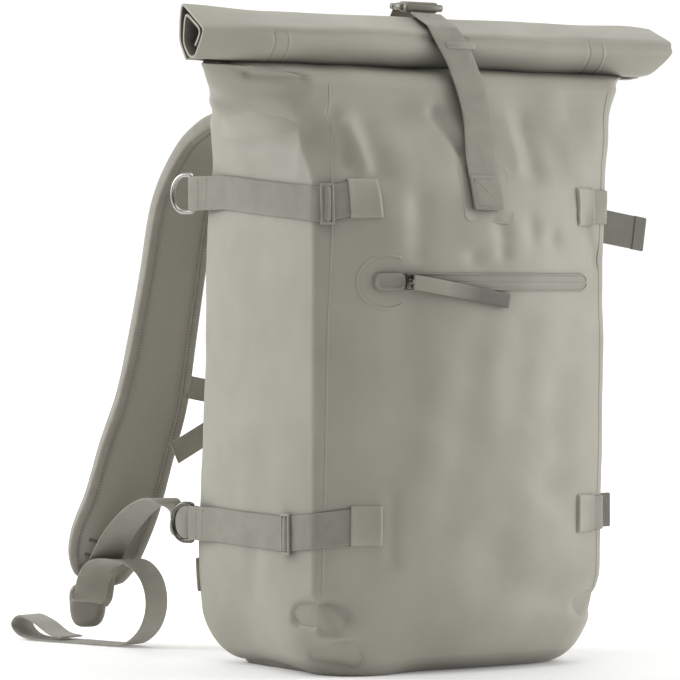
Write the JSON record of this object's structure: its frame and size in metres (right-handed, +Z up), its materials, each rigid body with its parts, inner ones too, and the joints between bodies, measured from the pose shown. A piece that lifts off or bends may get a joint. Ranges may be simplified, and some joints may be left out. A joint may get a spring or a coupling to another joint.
{
  "type": "roll-top backpack",
  "caption": "Waterproof roll-top backpack of welded coated fabric, standing full, with padded shoulder straps, compression straps, wire rings and a welded pocket zip.",
  "frame": {"origin": "middle of the flat base, on the floor that the bag stands on", "axes": "+Z up, -Y out of the front panel, +Y out of the back with the shoulder straps, +X to the right as seen from the front"},
  "size_m": [0.493, 0.5396, 0.5818],
  "materials": {
    "coated_fabric": "satin coating over a fine weave, warm grey",
    "webbing": "ribbed flat webbing, warm grey",
    "pad_mesh": "open mesh over foam with a bound edge",
    "plastic": "moulded, slightly glossy",
    "zip": "coated zip tape",
    "steel": "plated wire"
  },
  "bodies": {
    "root": {"bag_shell": "coated_fabric", "roll_top": "coated_fabric", "front_patch": "coated_fabric", "top_strap": "webbing", "top_keeper": "plastic", "top_buckle": "plastic", "top_strap_back": "webbing", "zip_tape": "zip", "zip_garage": "zip", "zip_slider": "steel", "zip_pull": "webbing", "side_patch_upper_left": "coated_fabric", "side_stub_upper_left": "webbing", "side_slider_upper_left": "steel", "side_strap_upper_left": "webbing", "side_ring_upper_left": "steel", "side_patch_lower_left": "coated_fabric", "side_stub_lower_left": "webbing", "side_slider_lower_left": "steel", "side_strap_lower_left": "webbing", "side_ring_lower_left": "steel", "side_patch_upper_right": "coated_fabric", "side_stub_upper_right": "webbing", "side_slider_upper_right": "steel", "side_strap_upper_right": "webbing", "side_ring_upper_right": "steel", "side_tail_upper_right": "webbing", "side_patch_lower_right": "coated_fabric", "side_stub_lower_right": "webbing", "side_slider_lower_right": "steel", "side_strap_lower_right": "webbing", "side_ring_lower_right": "steel", "side_tail_lower_right": "webbing", "shoulder_pad_left": "pad_mesh", "shoulder_pad_right": "pad_mesh", "ladder_lock_left": "plastic", "ladder_lock_right": "plastic", "lower_strap_left": "webbing", "lower_strap_right": "webbing", "strap_tail_left": "webbing", "strap_tail_right": "webbing", "sternum_left": "webbing", "sternum_right": "webbing", "sternum_buckle": "plastic", "sternum_tail": "webbing", "corner_tab_left": "webbing", "corner_tab_right": "webbing"}
  },
  "joints": []
}
